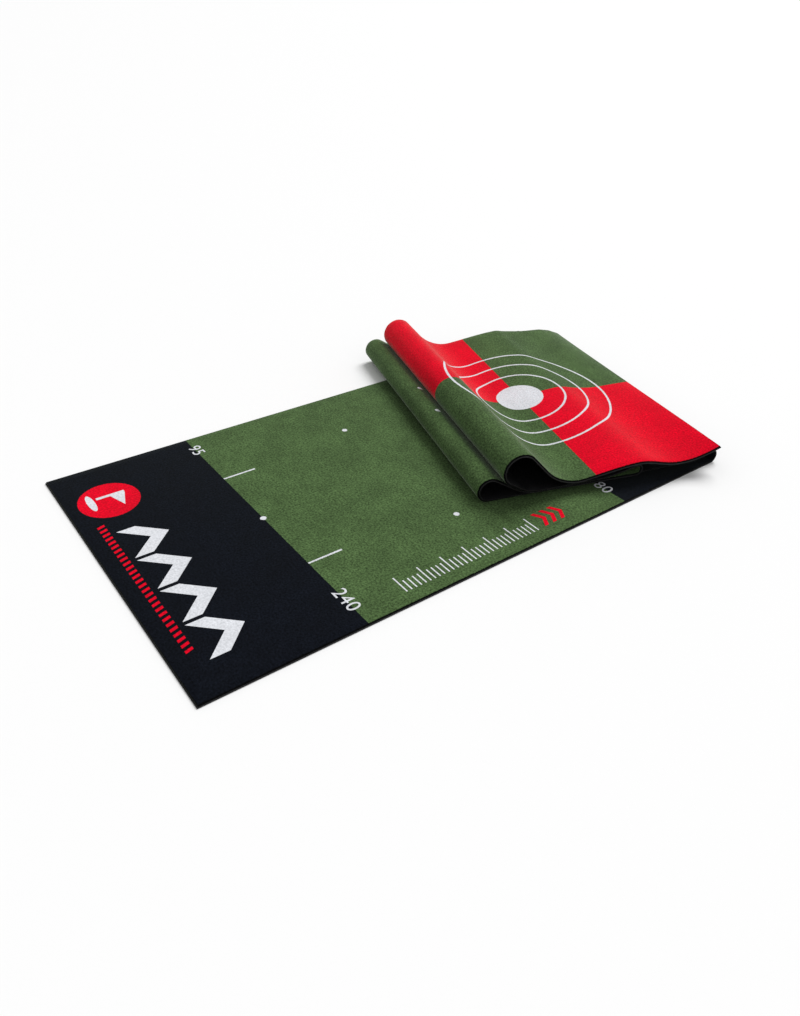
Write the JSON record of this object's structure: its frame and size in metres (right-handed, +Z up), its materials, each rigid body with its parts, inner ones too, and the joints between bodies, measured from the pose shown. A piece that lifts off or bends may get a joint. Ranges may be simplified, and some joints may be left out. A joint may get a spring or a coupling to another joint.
{
  "type": "practice putting mat",
  "caption": "Long printed pile putting mat on a rubber backing, part unfolded: the tee end lies flat and the target end is folded back over it in four more layers.",
  "frame": {"origin": "on the floor, under the printed tee spot that all distances on the mat are measured from", "axes": "+X along the mat from the tee spot to the target, +Y across the mat, +Z up from the floor"},
  "size_m": [1.3441, 0.8133, 0.1095],
  "materials": {
    "pile": "short dense printed velour pile, matt with a soft sheen on its bends",
    "backing": "matt black rubber with a fine moulded texture"
  },
  "bodies": {
    "root": {"base_run_backing": "backing", "base_run_pile": "pile", "end_fold_strip_1_backing": "backing", "end_fold_strip_1_pile": "pile", "end_fold_strip_2_backing": "backing", "end_fold_strip_2_pile": "pile", "end_fold_strip_3_backing": "backing", "end_fold_strip_3_pile": "pile", "end_fold_ramp_backing": "backing", "end_fold_ramp_pile": "pile", "second_run_backing": "backing", "second_run_pile": "pile", "small_loop_strip_1_backing": "backing", "small_loop_strip_1_pile": "pile", "small_loop_strip_2_backing": "backing", "small_loop_strip_2_pile": "pile", "small_loop_strip_3_backing": "backing", "small_loop_strip_3_pile": "pile", "small_loop_ramp_backing": "backing", "small_loop_ramp_pile": "pile", "third_run_backing": "backing", "third_run_pile": "pile", "inner_fold_strip_1_backing": "backing", "inner_fold_strip_1_pile": "pile", "inner_fold_strip_2_backing": "backing", "inner_fold_strip_2_pile": "pile", "inner_fold_strip_3_backing": "backing", "inner_fold_strip_3_pile": "pile", "inner_fold_ramp_backing": "backing", "inner_fold_ramp_pile": "pile", "fourth_run_backing": "backing", "fourth_run_pile": "pile", "big_loop_strip_1_backing": "backing", "big_loop_strip_1_pile": "pile", "big_loop_strip_2_backing": "backing", "big_loop_strip_2_pile": "pile", "big_loop_strip_3_backing": "backing", "big_loop_strip_3_pile": "pile", "big_loop_strip_4_backing": "backing", "big_loop_strip_4_pile": "pile", "big_loop_strip_5_backing": "backing", "big_loop_strip_5_pile": "pile", "big_loop_ramp_backing": "backing", "big_loop_ramp_pile": "pile", "big_loop_foot_backing": "backing", "big_loop_foot_pile": "pile", "last_run_rise_backing": "backing", "last_run_rise_pile": "pile", "last_run_fall_backing": "backing", "last_run_fall_pile": "pile", "last_run_dip_backing": "backing", "last_run_dip_pile": "pile", "last_run_end_backing": "backing", "last_run_end_pile": "pile"}
  },
  "joints": []
}
